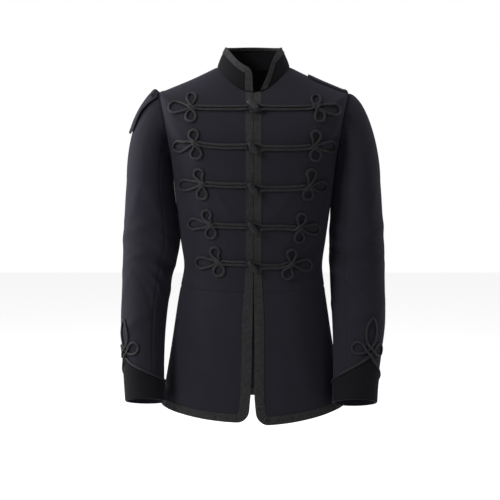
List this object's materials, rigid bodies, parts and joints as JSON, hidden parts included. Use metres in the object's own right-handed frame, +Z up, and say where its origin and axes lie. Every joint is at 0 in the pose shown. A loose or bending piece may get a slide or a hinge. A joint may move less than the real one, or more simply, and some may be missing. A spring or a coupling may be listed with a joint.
{
  "type": "military jacket",
  "caption": "Worn hussar-pattern patrol jacket in dark navy wool: stand collar, corded frogging with toggles, pointed velvet cuffs and a flared skirt, open at neck, hem and cuffs.",
  "frame": {"origin": "midway between the neck points of the two shoulder seams, where the wearer's shoulders hold the jacket up", "axes": "+Z up, the front faces -Y, the wearer's left side is +X"},
  "size_m": [0.5811, 0.2756, 0.8118],
  "materials": {
    "navy_wool": "matte",
    "black_velvet": "matte",
    "mohair_braid": "satin",
    "frogging_cord": "satin"
  },
  "bodies": {
    "root": {"forepart_right": "navy_wool", "skirt_front_right": "navy_wool", "sleeve_top_right": "navy_wool", "sleeve_under_right": "navy_wool", "cuff_right": "black_velvet", "cuff_cord_right": "frogging_cord", "front_braid_right": "mohair_braid", "forepart_left": "navy_wool", "skirt_front_left": "navy_wool", "sleeve_top_left": "navy_wool", "sleeve_under_left": "navy_wool", "cuff_left": "black_velvet", "cuff_cord_left": "frogging_cord", "front_braid_left": "mohair_braid", "back": "navy_wool", "skirt_back": "navy_wool", "hem_braid_back": "mohair_braid", "collar": "black_velvet", "collar_braid": "mohair_braid", "frog_right_1": "frogging_cord", "frog_right_2": "frogging_cord", "frog_right_3": "frogging_cord", "frog_right_4": "frogging_cord", "frog_right_5": "frogging_cord", "frog_left_1": "frogging_cord", "toggle_1": "frogging_cord", "frog_left_2": "frogging_cord", "toggle_2": "frogging_cord", "frog_left_3": "frogging_cord", "toggle_3": "frogging_cord", "frog_left_4": "frogging_cord", "toggle_4": "frogging_cord", "frog_left_5": "frogging_cord", "toggle_5": "frogging_cord", "shoulder_strap_left": "navy_wool", "shoulder_strap_right": "navy_wool"}
  },
  "joints": []
}
